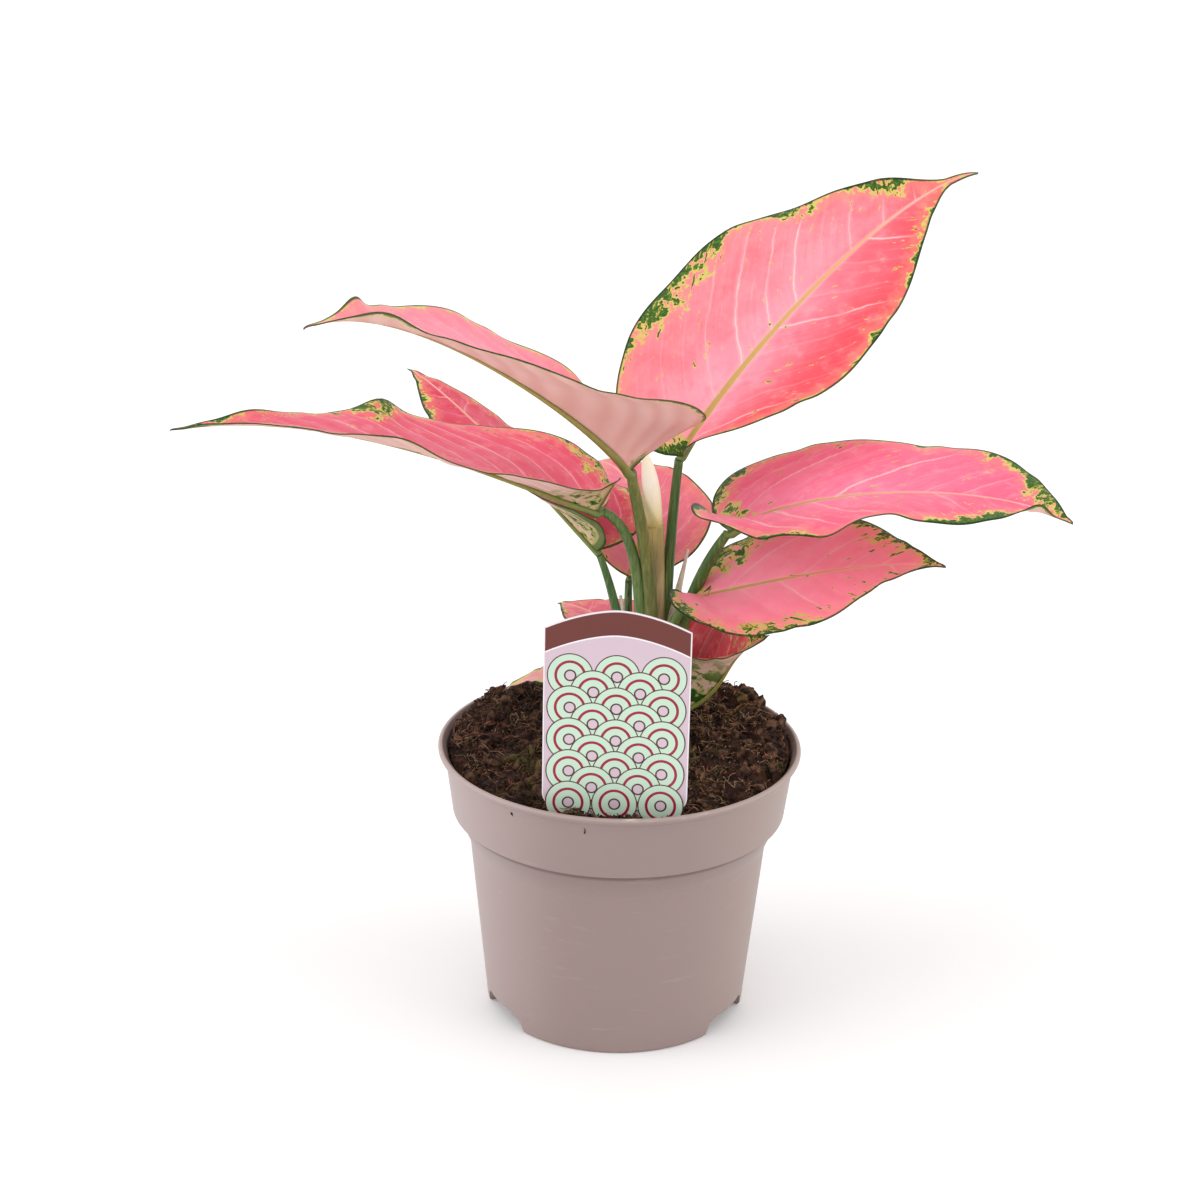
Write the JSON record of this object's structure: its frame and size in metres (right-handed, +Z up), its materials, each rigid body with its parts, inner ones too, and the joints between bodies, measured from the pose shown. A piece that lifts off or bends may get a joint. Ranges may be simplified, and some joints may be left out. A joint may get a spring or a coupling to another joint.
{
  "type": "potted aglaonema plant",
  "caption": "Pink Chinese evergreen in a taupe plastic nursery pot, with broad pink leaves edged in green speckles and a plant tag pushed into the soil",
  "frame": {"origin": "centre of the flat underside of the pot, where it stands", "axes": "+Z up along the pot's axis, -Y towards the viewer and the printed side of the tag, +X to the viewer's right"},
  "size_m": [0.2752, 0.1811, 0.2684],
  "materials": {
    "taupe_plastic": "satin moulded plastic, slightly scuffed at the rim",
    "potting_soil": "damp crumbly peat and coir with reddish fibres",
    "printed_tag": "printed plastic card, maroon band over a lilac and mint ground",
    "green_stem": "smooth fleshy stalks, green with mauve and papery sheaths",
    "young_leaf": "cream yellow rolled young leaf",
    "variegated_leaf": "glossy pink leaf, green speckles along the margin, dusty pink beneath"
  },
  "bodies": {
    "root": {"pot": "taupe_plastic", "soil": "potting_soil", "plant_tag": "printed_tag", "stems": "green_stem", "rolled_leaf": "young_leaf", "blade_upper_right": "variegated_leaf", "blade_upper_left": "variegated_leaf", "blade_left": "variegated_leaf", "blade_back_left": "variegated_leaf", "blade_back": "variegated_leaf", "blade_right": "variegated_leaf", "blade_lower_right": "variegated_leaf", "blade_low_right": "variegated_leaf", "blade_low_left": "variegated_leaf", "blade_low_back": "variegated_leaf"}
  },
  "joints": []
}
